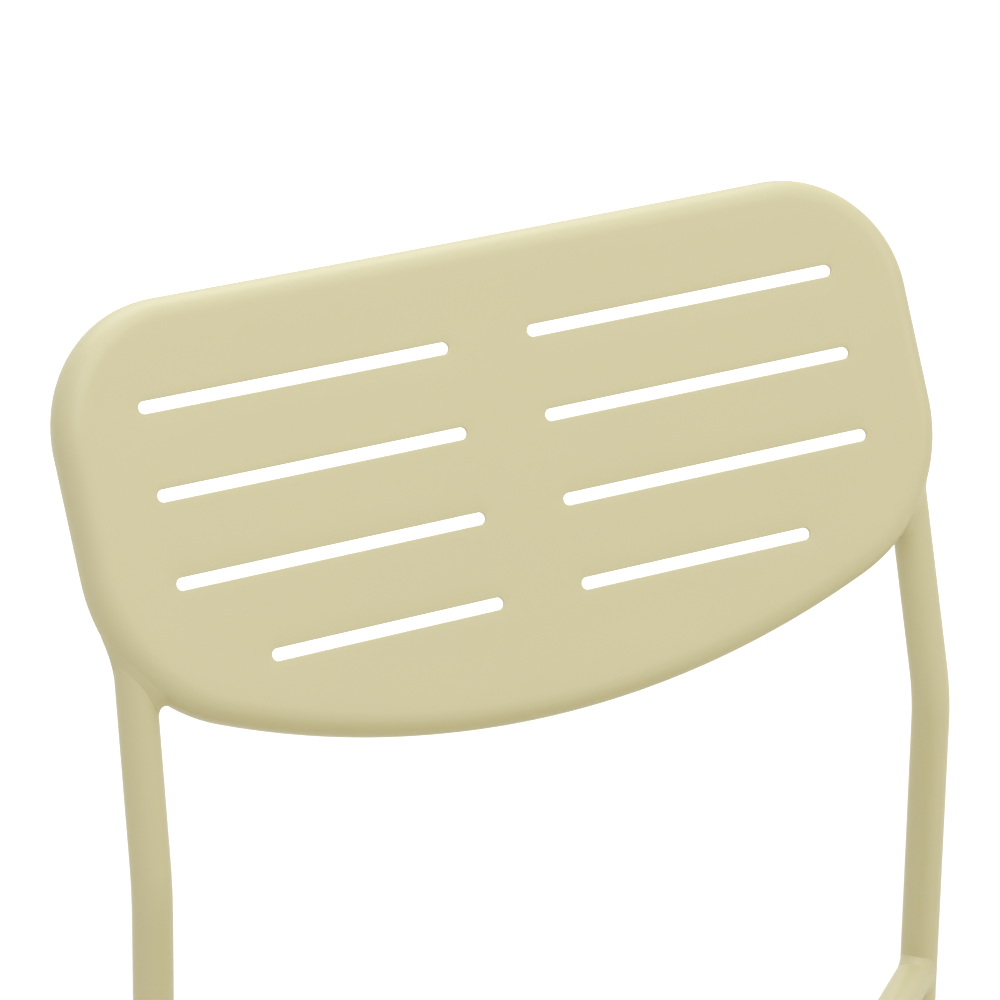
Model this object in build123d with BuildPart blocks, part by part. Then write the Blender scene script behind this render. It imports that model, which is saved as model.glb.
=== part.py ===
from build123d import *

import os
from collections import namedtuple
from math import asin, cos, degrees, radians, sin, sqrt, tan

# Metal stacking chair. X is across, the front faces -Y, Z is up from the floor.
# Left is -X and right is +X, as seen from in front of the chair. Lengths in mm, angles in degrees.

# Overall: from the seat's front edge to the back of the backrest's rim
overall_depth = 550.0

# Leg and rail tube
tube_diameter = 19.0
tube_wall = 1.5
cross_tube_diameter = 16.0
cross_tube_wall = 1.2

# Pressed sheet with a rolled rim
sheet_thickness = 1.5
rim_depth = 17.0
rim_roll = 11.0

# Backrest panel: straight upper edge, arched lower edge, curved across
back_width = 450.0
back_height = 230.0
back_top_corner = 63.0
back_bottom_corner = 83.0
back_bottom_radius = 472.0
back_curve_radius = 1570.0
back_recline = 26.5
back_rise = 45.0
back_forward = 11.0

# Seat pan: straight front edge, arched rear edge, curved across, higher in front
seat_width = 400.0
seat_depth = 380.0
seat_front_corner = 60.0
seat_rear_corner = 85.0
seat_rear_radius = 520.0
seat_curve_radius = 1500.0
seat_tilt = 3.0

# Slots in two columns
slot_width = 6.0
slot_pitch = 41.0
slot_gap = 42.0
back_slot_rows = 4
back_slot_first = 58.0
back_slot_length = 163.0
back_short_slot_length = 123.0
seat_slot_rows = 7
seat_slot_first = 90.0
seat_slot_length = 125.0
seat_short_slot_length = 100.0

# Rear legs: foot, bend above the seat, bend behind the panel, upper end; inset from the panel's sides
rear_foot_inset = 5.0
rear_foot_setback = 20.0
bend_height = 586.0
bend_inset = 13.0
bend_radius = 120.0
post_inset = 18.5
post_bend_rise = 88.0
post_bend_radius = 80.0
post_end_rise = 158.0

# Side rails that flare out to the rear legs and down into the front legs
rail_height = 425.0
rail_spacing = 320.0
rail_flare = 48.0
rail_bend_radius = 32.0
front_flare_start = 296.0
knee_spacing = 412.0
knee_radius = 38.0
front_leg_rake = 22.0
front_foot_spacing = 436.0

# Cross rails, by their distance from the seat's rear edge
rear_cross_rail_place = 66.0
front_cross_rail_place = 274.0
cope_margin = 3.0

# Plastic feet and plugs
foot_diameter = 22.0
foot_height = 8.0
foot_chamfer = 1.0
plug_clearance = 0.1
plug_length = 22.0
plug_core_diameter = 12.0
plug_fins = 3
plug_fin_thickness = 3.0
cap_height = 2.5
cap_round = 1.5

# Stacking bumpers on the underside of the rails, by their distance from the seat's rear edge
bumper_places = {"rear": 115.0, "front": 230.0}
bumper_diameter = 14.0
bumper_height = 6.0
bumper_round = 2.0
bumper_stem_diameter = 5.0
bumper_barb_diameter = 6.5
bumper_barb_height = 2.0
bumper_barb_gap = 1.0
bumper_hole_clearance = 0.2

# Welds
rim_weld_radius = 4.0
rail_weld_size = 1.5
cross_weld_size = 2.5
cross_weld_drop = 3.0
weld_gap = 0.2
stitch_length = 26.0
stitch_start = 2.5
stitch_reach = 6.5
back_stitch_places = (112.0, 144.0)
seat_stitch_places = (100.0, 170.0, 240.0)

# Derived sizes
rear_foot_spacing = back_width - 2 * rear_foot_inset
bend_spacing = back_width - 2 * bend_inset
post_spacing = back_width - 2 * post_inset
tube_radius = tube_diameter / 2
bore_radius = tube_radius - tube_wall
cross_tube_radius = cross_tube_diameter / 2
notch_diameter = tube_diameter + weld_gap
recline = radians(back_recline)
tilt = radians(seat_tilt)
sides = {"left": -1, "right": 1}

# A pressed tray lies on a plane through the middle of its arched edge: x across, y towards its
# straight edge, z out of the face that is sat on or leant on.
Tray = namedtuple("Tray", "plane width length far_corner near_corner near_radius curve_radius")


def touching_tube_height(curve_radius, radius, across):
    """Height over the middle of a curved sheet's face of a tube axis that lies against the sheet's back."""
    reach = curve_radius + sheet_thickness + weld_gap + radius
    return curve_radius - sqrt(reach**2 - across**2)


# Backrest plane, and the bend of the posts below it
back_edge_y = overall_depth / 2 - back_height * sin(recline) - rim_depth * cos(recline)
back_plane = Plane(
    origin=(0, back_edge_y, bend_height + back_rise),
    x_dir=(1, 0, 0),
    z_dir=(0, -cos(recline), sin(recline)),
)
bend_y = back_edge_y + back_forward
post_height = touching_tube_height(back_curve_radius, tube_radius, post_spacing / 2)

# Seat plane, set so that the rails under the pan meet the rear legs at the rail height
seat_edge_y = seat_depth * cos(tilt) + rim_depth * sin(tilt) - overall_depth / 2
rail_rise = touching_tube_height(seat_curve_radius, tube_radius, rail_spacing / 2)
rail_share = rail_height / bend_height
rail_end_y = bend_y + rear_foot_setback * (1 - rail_share)
rail_end_across = (rear_foot_spacing + (bend_spacing - rear_foot_spacing) * rail_share) / 2
seat_edge_z = rail_height + ((rail_end_y - seat_edge_y) * sin(tilt) - rail_rise) / cos(tilt)
seat_plane = Plane(
    origin=(0, seat_edge_y, seat_edge_z),
    x_dir=(-1, 0, 0),
    z_dir=(0, sin(tilt), cos(tilt)),
)

backrest = Tray(
    back_plane, back_width, back_height, back_top_corner, back_bottom_corner,
    back_bottom_radius, back_curve_radius,
)
seat = Tray(
    seat_plane, seat_width, seat_depth, seat_front_corner, seat_rear_corner,
    seat_rear_radius, seat_curve_radius,
)


def seat_point(side, across, along, height):
    """A point by its distances from the seat's middle line, rear edge and plane."""
    return seat_plane.from_local_coords(Vector(-side * across, along, height))


def back_point(side, across, along, height):
    """A point by its distances from the backrest's middle line, lower edge and plane."""
    return back_plane.from_local_coords(Vector(side * across, along, height))


def tube_end(floor_point, upper_point):
    """Where a leg's tube ends above the floor, on its foot."""
    upward = (upper_point - floor_point).normalized()
    return floor_point + upward * (foot_height / upward.Z)


# Routes of the tubes
def rear_foot_point(side):
    return Vector(side * rear_foot_spacing / 2, bend_y + rear_foot_setback, 0)


def bend_point(side):
    return Vector(side * bend_spacing / 2, bend_y, bend_height)


def rear_leg_route(side):
    return [
        tube_end(rear_foot_point(side), bend_point(side)),
        bend_point(side),
        back_point(side, post_spacing / 2, post_bend_rise, post_height),
        back_point(side, post_spacing / 2, post_end_rise, post_height),
    ]


def rail_end_point(side):
    return Vector(side * rail_end_across, rail_end_y, rail_height)


def knee_point(side):
    flare_length = (knee_spacing - rail_spacing) / 2 / tan(radians(rail_flare))
    return seat_point(side, knee_spacing / 2, front_flare_start + flare_length, rail_rise)


def front_foot_point(side):
    return Vector(side * front_foot_spacing / 2, knee_point(side).Y - front_leg_rake, 0)


def front_leg_route(side):
    rail_end_along = seat_plane.to_local_coords(rail_end_point(side)).Y
    flare_length = (rail_end_across - rail_spacing / 2) / tan(radians(rail_flare))
    return [
        rail_end_point(side),
        seat_point(side, rail_spacing / 2, rail_end_along + flare_length, rail_rise),
        seat_point(side, rail_spacing / 2, front_flare_start, rail_rise),
        knee_point(side),
        tube_end(front_foot_point(side), knee_point(side)),
    ]


rear_leg_radii = [bend_radius, post_bend_radius]
front_leg_radii = [rail_bend_radius, rail_bend_radius, knee_radius]


# Shapes that several pieces share
def bent_tube(route, radii, outer, bore=0.0):
    """A round tube, or a rod where there is no bore, along straight runs and tangent bends."""
    with BuildPart() as tube:
        with BuildLine() as path:
            FilletPolyline(*route, radius=radii)
        with BuildSketch(Plane(path.line @ 0, z_dir=path.line % 0)):
            Circle(outer / 2)
            if bore:
                Circle(bore / 2, mode=Mode.SUBTRACT)
        sweep(path=path.line)
    return tube.part


def straight_rod(start, end, diameter):
    """A round rod from one point to another."""
    with BuildPart() as rod:
        with BuildSketch(Plane(start, z_dir=end - start)):
            Circle(diameter / 2)
        extrude(amount=(end - start).length)
    return rod.part


def cross_section_plane(tray, along):
    """A plane across a tray, with x across and y out of the tray's face."""
    origin = tray.plane.from_local_coords(Vector(0, along, 0))
    return Plane(origin, x_dir=tray.plane.x_dir, z_dir=-tray.plane.y_dir)


def tray_block(tray, grow, depth):
    """The space within a tray's outer skin, with the skin moved outwards by grow."""
    with BuildPart() as block:
        with BuildSketch(tray.plane) as outline:
            with Locations((0, tray.length / 2)):
                Rectangle(tray.width + 2 * grow, tray.length + 2 * grow)
            with Locations((0, tray.near_radius)):
                Circle(tray.near_radius + grow, mode=Mode.INTERSECT)
            fillet(outline.vertices().group_by(Axis.Y)[-1], tray.far_corner + grow)
            fillet(outline.vertices().group_by(Axis.Y)[0], tray.near_corner + grow)
        extrude(amount=tray.width / 2, both=True)
        with BuildSketch(cross_section_plane(tray, 0)):
            with Locations((0, tray.curve_radius)):
                Circle(tray.curve_radius + depth)
                Circle(tray.curve_radius - grow, mode=Mode.SUBTRACT)
        extrude(amount=2 * tray.length, both=True, mode=Mode.INTERSECT)
        outward = Axis(tray.plane.origin, tray.plane.z_dir)
        face = block.faces().sort_by(SortBy.AREA)[-2:].sort_by(outward)[-1]
        fillet(face.edges(), rim_roll + grow)
    return block.part


def slot_cutters(tray, first, lengths):
    """Rows of paired slots, from the row nearest to the tray's arched edge."""
    with BuildPart() as cutters:
        with BuildSketch(tray.plane):
            for row, length in enumerate(lengths):
                for side in sides.values():
                    with Locations((side * (slot_gap + length) / 2, first + row * slot_pitch)):
                        SlotOverall(length, slot_width)
        extrude(amount=tray.width / 2, both=True)
    return cutters.part


def pressed_tray(tray, slots, tubes):
    """Sheet tray with a rolled rim and slots, its rim notched where the tubes pass through."""
    outside = tray_block(tray, 0, rim_depth)
    inside = tray_block(tray, -sheet_thickness, 2 * rim_depth)
    with BuildPart() as panel:
        add(outside)
        add(inside, mode=Mode.SUBTRACT)
        add(slots, mode=Mode.SUBTRACT)
        for tube in tubes:
            add(tube, mode=Mode.SUBTRACT)
    return panel


def weld_collar(first, second, first_grown, second_grown):
    """A weld bead in the corner between two pieces: the overlap of both, grown, less both."""
    with BuildPart() as collar:
        add(first_grown)
        add(second_grown, mode=Mode.INTERSECT)
        add(first, mode=Mode.SUBTRACT)
        add(second, mode=Mode.SUBTRACT)
    return collar.part


def stitch_weld(tray, across, along):
    """Two short beads, one each side of a tube that lies against the back of a tray's sheet."""
    reach = tray.curve_radius + sheet_thickness + weld_gap + tube_radius
    lean = asin(across / reach)
    height = touching_tube_height(tray.curve_radius, tube_radius, across)
    section = Plane(
        tray.plane.from_local_coords(Vector(across, along, height)),
        x_dir=tray.plane.x_dir * cos(lean) + tray.plane.z_dir * sin(lean),
        z_dir=-tray.plane.y_dir,
    )
    with BuildPart() as beads:
        with BuildSketch(section):
            for side in sides.values():
                with Locations((side * (stitch_start + stitch_reach) / 2, tube_radius / 2)):
                    Rectangle(stitch_reach - stitch_start, 2 * tube_radius)
            Circle(tube_radius, mode=Mode.SUBTRACT)
            with Locations((0, reach)):
                Circle(reach - tube_radius - weld_gap, mode=Mode.SUBTRACT)
            with Locations((0, -tube_radius)):
                Rectangle(2 * tube_diameter, tube_diameter, mode=Mode.SUBTRACT)
        extrude(amount=stitch_length / 2, both=True)
    return beads.part


def tube_plug(plane, length):
    """The finned stem of a plastic plug, pushed into a tube's bore along the plane's normal."""
    with BuildPart() as plug:
        with BuildSketch(plane):
            Circle(plug_core_diameter / 2)
        extrude(amount=length)
        for fin in range(plug_fins):
            fin_place = fin * (length - plug_fin_thickness) / (plug_fins - 1)
            with BuildSketch(plane.offset(fin_place)):
                Circle(bore_radius - plug_clearance)
            extrude(amount=plug_fin_thickness)
    return plug.part


# Backrest panel
post_tubes = [
    bent_tube(rear_leg_route(side), rear_leg_radii, notch_diameter) for side in sides.values()
]
back_slot_lengths = [back_short_slot_length] + [back_slot_length] * (back_slot_rows - 1)
backrest_panel = pressed_tray(
    backrest, slot_cutters(backrest, back_slot_first, back_slot_lengths), post_tubes
)

# Seat pan
rail_tubes = [
    bent_tube(front_leg_route(side), front_leg_radii, notch_diameter) for side in sides.values()
]
seat_slot_lengths = [seat_short_slot_length] + [seat_slot_length] * (seat_slot_rows - 1)
seat_pan = pressed_tray(seat, slot_cutters(seat, seat_slot_first, seat_slot_lengths), rail_tubes)

pieces = {"backrest_panel": backrest_panel, "seat_pan": seat_pan}


# Straight runs of the tubes, for what is fitted to them
def lower_leg_rod(side, diameter):
    return straight_rod(rear_foot_point(side), bend_point(side), diameter)


def post_rod(side, diameter, overrun=0.0):
    """The post from its lower bend to where its upper bend starts, and an overrun at both ends."""
    _, low, high, end = rear_leg_route(side)
    upward = (high - low).normalized()
    turn = radians((high - low).get_angle(end - high))
    bend_start = high - upward * post_bend_radius * tan(turn / 2)
    return straight_rod(low - upward * overrun, bend_start + upward * overrun, diameter)


def rail_stub_rod(side, diameter):
    """The flared rear end of a rail, from the rear leg's axis."""
    return straight_rod(*front_leg_route(side)[:2], diameter)


def rail_rod(side, diameter):
    """The run of a rail beside the seat's middle."""
    return straight_rod(*front_leg_route(side)[1:3], diameter)


# Rear legs
def rear_leg(side):
    """Tube from the rear foot up past the seat, bent back behind the backrest panel."""
    tube = bent_tube(rear_leg_route(side), rear_leg_radii, tube_diameter, 2 * bore_radius)
    with BuildPart() as leg:
        add(tube)
    return leg


# Side rails with front legs
def bumper_plane(side, place):
    """A plane on the rail's axis whose normal points down, square to the seat."""
    origin = seat_point(side, rail_spacing / 2, place, rail_rise)
    return Plane(origin, x_dir=seat_plane.x_dir, z_dir=-seat_plane.z_dir)


def front_leg(side):
    """Tube from the rear leg along the seat's side and down to the front foot."""
    tube = bent_tube(front_leg_route(side), front_leg_radii, tube_diameter, 2 * bore_radius)
    rear_leg_space = lower_leg_rod(side, tube_diameter)
    with BuildPart() as leg:
        add(tube)
        add(rear_leg_space, mode=Mode.SUBTRACT)
        for place in bumper_places.values():
            with BuildSketch(bumper_plane(side, place)):
                Circle((bumper_stem_diameter + bumper_hole_clearance) / 2)
            extrude(amount=tube_diameter, mode=Mode.SUBTRACT)
    return leg


for name, side in sides.items():
    pieces[f"rear_leg_{name}"] = rear_leg(side)
    pieces[f"front_leg_{name}"] = front_leg(side)


# Cross rails, bent to the seat's curve and coped to the side rails
def cross_rail_bar(place, outer, bore=0.0):
    """A tube along the underside of the seat pan, with its ends inside the side rails."""
    arc_radius = seat_curve_radius + sheet_thickness + weld_gap + cross_tube_radius
    half_turn = degrees(asin((rail_spacing / 2 - cope_margin) / arc_radius))
    with BuildPart() as bar:
        with BuildLine(cross_section_plane(seat, place)) as path:
            CenterArc((0, seat_curve_radius), arc_radius, -90 - half_turn, 2 * half_turn)
        with BuildSketch(Plane(path.line @ 0, z_dir=path.line % 0)):
            Circle(outer / 2)
            if bore:
                Circle(bore / 2, mode=Mode.SUBTRACT)
        sweep(path=path.line)
    return bar.part


rail_spaces = [rail_rod(side, tube_diameter) for side in sides.values()]
cross_rail_places = {"rear_cross_rail": rear_cross_rail_place, "front_cross_rail": front_cross_rail_place}


def cross_rail(place):
    bar = cross_rail_bar(place, cross_tube_diameter, cross_tube_diameter - 2 * cross_tube_wall)
    with BuildPart() as rail:
        add(bar)
        for space in rail_spaces:
            add(space, mode=Mode.SUBTRACT)
    return rail


for name, place in cross_rail_places.items():
    pieces[name] = cross_rail(place)


# Plastic feet in the lower ends of the legs
def foot(floor_point, upper_point):
    """Finned plug with a wider head, cut flat at the floor."""
    upward = (upper_point - floor_point).normalized()
    end_plane = Plane(tube_end(floor_point, upper_point), z_dir=upward)
    stem = tube_plug(end_plane, plug_length)
    with BuildPart() as piece:
        with BuildSketch(end_plane):
            Circle(foot_diameter / 2)
        extrude(amount=-foot_height - foot_diameter)
        chamfer(piece.edges().sort_by(Axis(floor_point, upward))[-1], foot_chamfer)
        add(stem)
        split(bisect_by=Plane.XY, keep=Keep.TOP)
    return piece


for name, side in sides.items():
    pieces[f"rear_foot_{name}"] = foot(rear_foot_point(side), bend_point(side))
    pieces[f"front_foot_{name}"] = foot(front_foot_point(side), knee_point(side))


# Plugs in the upper ends of the posts, behind the backrest
def post_plug(side):
    """Finned plug with a thin rounded cap as wide as the tube."""
    post_end = rear_leg_route(side)[-1]
    stem = tube_plug(Plane(post_end, z_dir=-back_plane.y_dir), plug_length)
    with BuildPart() as plug:
        with BuildSketch(Plane(post_end, z_dir=back_plane.y_dir)):
            Circle(tube_radius)
        extrude(amount=cap_height)
        fillet(plug.edges().sort_by(Axis(post_end, back_plane.y_dir))[-1], cap_round)
        add(stem)
    return plug


for name, side in sides.items():
    pieces[f"post_plug_{name}"] = post_plug(side)


# Stacking bumpers, pressed into holes in the underside of the rails
def bumper(side, place):
    """Round button with a saddle that fits the tube, a stem through its wall and a barb inside."""
    plane = bumper_plane(side, place)
    down = Axis(plane.origin, plane.z_dir)
    rail_space = rail_rod(side, tube_diameter)
    barb_top = bore_radius - bumper_barb_gap - bumper_barb_height
    with BuildPart() as button:
        with BuildSketch(plane):
            Circle(bumper_diameter / 2)
        extrude(amount=tube_radius + bumper_height)
        fillet(button.edges().sort_by(down)[-1], bumper_round)
        add(rail_space, mode=Mode.SUBTRACT)
        with BuildSketch(plane.offset(barb_top)):
            Circle(bumper_stem_diameter / 2)
        extrude(amount=tube_radius + bumper_height / 2 - barb_top)
        with BuildSketch(plane.offset(barb_top)):
            Circle(bumper_barb_diameter / 2)
        extrude(amount=bumper_barb_height)
    return button


for name, side in sides.items():
    for end, place in bumper_places.items():
        pieces[f"{end}_bumper_{name}"] = bumper(side, place)


# Welds of the backrest: a concave bead under the rim and stitches behind the sheet
back_space = tray_block(backrest, weld_gap / 4, rim_depth)
back_clearance = tray_block(backrest, weld_gap / 2, 2 * rim_depth)


def rim_weld(side):
    """The bead in the corner between a post and the rim that it passes under."""
    post = post_rod(side, tube_diameter)
    post_clearance = post_rod(side, tube_diameter + weld_gap / 2, tube_diameter)
    with BuildPart() as bead:
        add(back_space)
        add(post)
        round_faces = bead.faces().filter_by(GeomType.CYLINDER)
        post_face = min(round_faces, key=lambda face: face.radius)
        open_back = max(round_faces, key=lambda face: face.radius)
        seam = [
            edge for edge in post_face.edges().filter_by(GeomType.BSPLINE) if edge not in open_back.edges()
        ]
        fillet(seam, rim_weld_radius)
        add(back_clearance, mode=Mode.SUBTRACT)
        add(post_clearance, mode=Mode.SUBTRACT)
    return bead.part


def backrest_weld(side):
    bead = rim_weld(side)
    stitches = [stitch_weld(backrest, side * post_spacing / 2, along) for along in back_stitch_places]
    with BuildPart() as weld:
        add(bead)
        for beads in stitches:
            add(beads)
        add(backrest_panel.part, mode=Mode.SUBTRACT)
    return weld


# Welds of the rails to the rear legs
def rail_weld(side):
    collar = weld_collar(
        lower_leg_rod(side, tube_diameter),
        rail_stub_rod(side, tube_diameter),
        lower_leg_rod(side, tube_diameter + 2 * rail_weld_size),
        rail_stub_rod(side, tube_diameter + 2 * rail_weld_size),
    )
    with BuildPart() as weld:
        add(collar)
    return weld


for name, side in sides.items():
    pieces[f"backrest_weld_{name}"] = backrest_weld(side)
    pieces[f"rail_weld_{name}"] = rail_weld(side)


# Welds of the cross rails to the side rails, below the sheet
def cross_rail_weld(side, place):
    """A ring round the end of a cross rail, where the rail is as good as straight."""
    axis = [
        seat_point(side, across, place, touching_tube_height(seat_curve_radius, cross_tube_radius, across))
        for across in (rail_spacing / 2, rail_spacing / 2 - tube_radius - cross_weld_size)
    ]
    upper_limit = Plane(
        axis[0] + seat_plane.z_dir * (cross_tube_radius - cross_weld_drop),
        z_dir=seat_plane.z_dir,
    )
    cross_rail_space = straight_rod(*axis, cross_tube_diameter + weld_gap)
    rail_space = rail_rod(side, tube_diameter)
    grown_cross_rail = straight_rod(*axis, cross_tube_diameter + 2 * cross_weld_size)
    with BuildPart() as ring:
        add(grown_cross_rail)
        split(bisect_by=upper_limit, keep=Keep.BOTTOM)
        add(rail_space, mode=Mode.SUBTRACT)
        add(cross_rail_space, mode=Mode.SUBTRACT)
    return ring.part


cross_rail_rings = [
    cross_rail_weld(side, place) for place in cross_rail_places.values() for side in sides.values()
]
with BuildPart() as cross_rail_welds:
    for ring in cross_rail_rings:
        add(ring)
pieces["cross_rail_welds"] = cross_rail_welds

# Welds of the seat pan to the side rails
seat_stitches = [
    stitch_weld(seat, side * rail_spacing / 2, along)
    for side in sides.values()
    for along in seat_stitch_places
]
with BuildPart() as seat_welds:
    for beads in seat_stitches:
        add(beads)
pieces["seat_welds"] = seat_welds

# One file for each piece
os.makedirs("parts", exist_ok=True)
for name, piece in pieces.items():
    piece.part.label = name
    export_step(piece.part, f"parts/{name}.step")
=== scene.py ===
from collections import namedtuple

import bmesh
import bpy
import numpy as np
from mathutils import Matrix
from mathutils.geometry import delaunay_2d_cdt


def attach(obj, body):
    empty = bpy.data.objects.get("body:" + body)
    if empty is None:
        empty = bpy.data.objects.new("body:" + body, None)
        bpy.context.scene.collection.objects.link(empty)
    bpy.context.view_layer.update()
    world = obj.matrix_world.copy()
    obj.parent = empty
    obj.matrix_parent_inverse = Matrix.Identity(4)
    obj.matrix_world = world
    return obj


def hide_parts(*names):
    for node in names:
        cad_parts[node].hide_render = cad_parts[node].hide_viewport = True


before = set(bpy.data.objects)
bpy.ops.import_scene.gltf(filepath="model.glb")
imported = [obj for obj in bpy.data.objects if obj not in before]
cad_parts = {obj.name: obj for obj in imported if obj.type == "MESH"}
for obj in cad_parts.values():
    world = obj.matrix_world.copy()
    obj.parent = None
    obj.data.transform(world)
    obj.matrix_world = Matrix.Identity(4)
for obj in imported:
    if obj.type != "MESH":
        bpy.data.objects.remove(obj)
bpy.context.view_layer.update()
scene = bpy.context.scene

# Sizes of the chair in metres and degrees, with the same names as in the part's source
overall_depth = 0.550
tube_diameter = 0.019
tube_wall = 0.0015
cross_tube_diameter = 0.016
cross_tube_wall = 0.0012
sheet_thickness = 0.0015
rim_depth = 0.017
rim_roll = 0.011
back_width = 0.450
back_height = 0.230
back_top_corner = 0.063
back_bottom_corner = 0.083
back_bottom_radius = 0.472
back_curve_radius = 1.570
back_recline = 26.5
back_rise = 0.045
back_forward = 0.011
seat_width = 0.400
seat_depth = 0.380
seat_front_corner = 0.060
seat_rear_corner = 0.085
seat_rear_radius = 0.520
seat_curve_radius = 1.500
seat_tilt = 3.0
slot_width = 0.006
slot_pitch = 0.041
slot_gap = 0.042
back_slot_rows = 4
back_slot_first = 0.058
back_slot_length = 0.163
back_short_slot_length = 0.123
seat_slot_rows = 7
seat_slot_first = 0.090
seat_slot_length = 0.125
seat_short_slot_length = 0.100
rear_foot_inset = 0.005
rear_foot_setback = 0.020
bend_height = 0.586
bend_inset = 0.013
bend_radius = 0.120
post_inset = 0.0185
post_bend_rise = 0.088
post_bend_radius = 0.080
post_end_rise = 0.158
rail_height = 0.425
rail_spacing = 0.320
rail_flare = 48.0
rail_bend_radius = 0.032
front_flare_start = 0.296
knee_spacing = 0.412
knee_radius = 0.038
front_leg_rake = 0.022
front_foot_spacing = 0.436
rear_cross_rail_place = 0.066
front_cross_rail_place = 0.274
cope_margin = 0.003
foot_diameter = 0.022
foot_height = 0.008
cap_height = 0.0025
cap_round = 0.0015
bumper_places = {"rear": 0.115, "front": 0.230}
bumper_diameter = 0.014
bumper_height = 0.006
bumper_round = 0.002
weld_gap = 0.0002
stitch_length = 0.026
back_stitch_places = (0.112, 0.144)
seat_stitch_places = (0.100, 0.170, 0.240)

# Sizes that follow from those
tube_radius = tube_diameter / 2
bore_radius = tube_radius - tube_wall
cross_tube_radius = cross_tube_diameter / 2
cross_bore_radius = cross_tube_radius - cross_tube_wall
foot_radius = foot_diameter / 2
bumper_radius = bumper_diameter / 2
recline = np.radians(back_recline)
tilt = np.radians(seat_tilt)
sides = {"left": -1, "right": 1}
cross_rail_places = {"rear": rear_cross_rail_place, "front": front_cross_rail_place}
back_slot_lengths = [back_short_slot_length] + [back_slot_length] * (back_slot_rows - 1)
seat_slot_lengths = [seat_short_slot_length] + [seat_slot_length] * (seat_slot_rows - 1)

# Finishing sizes that only show
slot_edge_round = 0.0004
dish_depth = 0.0003
dish_start = 0.002
dish_end = 0.028
foot_round = 0.001
cap_crown = 0.0003
rail_weld_reach = 0.0032
rail_weld_side_reach = 0.0025
rail_weld_hollow = 0.15
cross_weld_reach = 0.0035
cross_weld_hollow = 0.6
cross_weld_half_turn = 2.2  # radians
cross_weld_end_power = 6
stitch_tube_turn = 42.0
stitch_seam_place = 0.002
stitch_sheet_reach = 0.0075
stitch_lean = 0.6
stitch_swell = 0.0003
stitch_end_power = 8
bead_sink = 0.0003
bead_ripple = 0.0002
bead_ripple_pitch = 0.0022

# How fine the surfaces are
ring_sides = 64
outline_spacing = 0.003
face_spacing = 0.007
bend_step = np.radians(3.0)
roll_points = 15
lip_points = 9
slot_end_points = 17
slot_edge_points = 5
round_points = 7
crown_points = 6
cross_rail_points = 33
bead_points = 13
rim_weld_points = 121
cross_weld_points = 49
stitch_points = 79
seam_halvings = 30
toe_steps = 4
slope_step = 1e-5
merge_distance = 2e-6
sliver_length = 1e-7
net_tolerance = 1e-7
crease_angle = np.radians(50)


def unit(vectors):
    """Vectors brought to length 1."""
    return vectors / np.linalg.norm(vectors, axis=-1, keepdims=True)


def square_to(axis, vectors):
    """The part of vectors that is square to a unit axis: v less (v . axis) axis."""
    return vectors - (vectors @ axis)[..., None] * axis


def eased(x, knots, values):
    """Values at knots, joined by half cosine waves."""
    knots, values = np.array(knots), np.array(values)
    k = np.clip(np.searchsorted(knots, x) - 1, 0, len(knots) - 2)
    t = np.clip((x - knots[k]) / (knots[k + 1] - knots[k]), 0, 1)
    return values[k] + (values[k + 1] - values[k]) * (1 - np.cos(np.pi * t)) / 2


# Surfaces become pieces
def grid(points, closed_rows=False, closed_columns=False):
    """Quads over a grid of points, joined end to end in the directions that are closed."""
    rows, columns = points.shape[:2]
    index = np.arange(rows * columns).reshape(rows, columns)
    if closed_rows:
        index = np.concatenate([index, index[:1]])
    if closed_columns:
        index = np.concatenate([index, index[:, :1]], axis=1)
    quads = np.stack([index[:-1, :-1], index[:-1, 1:], index[1:, 1:], index[1:, :-1]], axis=-1)
    return points.reshape(-1, 3), quads.reshape(-1, 4)


def make_piece(name, finish, patches, stands_for):
    """One object of several patches, welded where they meet, closed and turned outwards."""
    offsets = np.cumsum([0] + [len(points) for points, _ in patches])
    vertices = np.concatenate([points for points, _ in patches])
    faces = [row for (_, part), start in zip(patches, offsets) for row in (part + start).tolist()]
    mesh = bpy.data.meshes.new(name)
    mesh.from_pydata(vertices.tolist(), [], faces)
    shell = bmesh.new()
    shell.from_mesh(mesh)
    bmesh.ops.remove_doubles(shell, verts=shell.verts, dist=merge_distance)
    bmesh.ops.dissolve_degenerate(shell, edges=shell.edges, dist=sliver_length)
    bmesh.ops.recalc_face_normals(shell, faces=shell.faces)
    shell.to_mesh(mesh)
    shell.free()
    mesh.shade_smooth()
    mesh.set_sharp_from_angle(angle=crease_angle)
    mesh.materials.append(finishes[finish])
    thing = bpy.data.objects.new(name, mesh)
    scene.collection.objects.link(thing)
    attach(thing, "root")
    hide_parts(*stands_for)


# Trays: planes of the pressed sheets, x across, y towards the straight edge, z out of the face
Tray = namedtuple("Tray", "origin axes width length far_corner near_corner near_radius curve_radius")


def touching_tube_height(curve_radius, radius, across):
    """Height over the middle of a curved sheet's face of a tube axis that lies against the sheet's back."""
    reach = curve_radius + sheet_thickness + weld_gap + radius
    return curve_radius - np.sqrt(reach**2 - across**2)


back_edge_y = overall_depth / 2 - back_height * np.sin(recline) - rim_depth * np.cos(recline)
backrest = Tray(
    origin=np.array([0, back_edge_y, bend_height + back_rise]),
    axes=np.array([
        [1, 0, 0],
        [0, np.sin(recline), np.cos(recline)],
        [0, -np.cos(recline), np.sin(recline)],
    ]),
    width=back_width,
    length=back_height,
    far_corner=back_top_corner,
    near_corner=back_bottom_corner,
    near_radius=back_bottom_radius,
    curve_radius=back_curve_radius,
)
bend_y = back_edge_y + back_forward
bend_across = back_width / 2 - bend_inset
rear_foot_across = back_width / 2 - rear_foot_inset
post_across = back_width / 2 - post_inset
post_rise = touching_tube_height(back_curve_radius, tube_radius, post_across)

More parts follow.
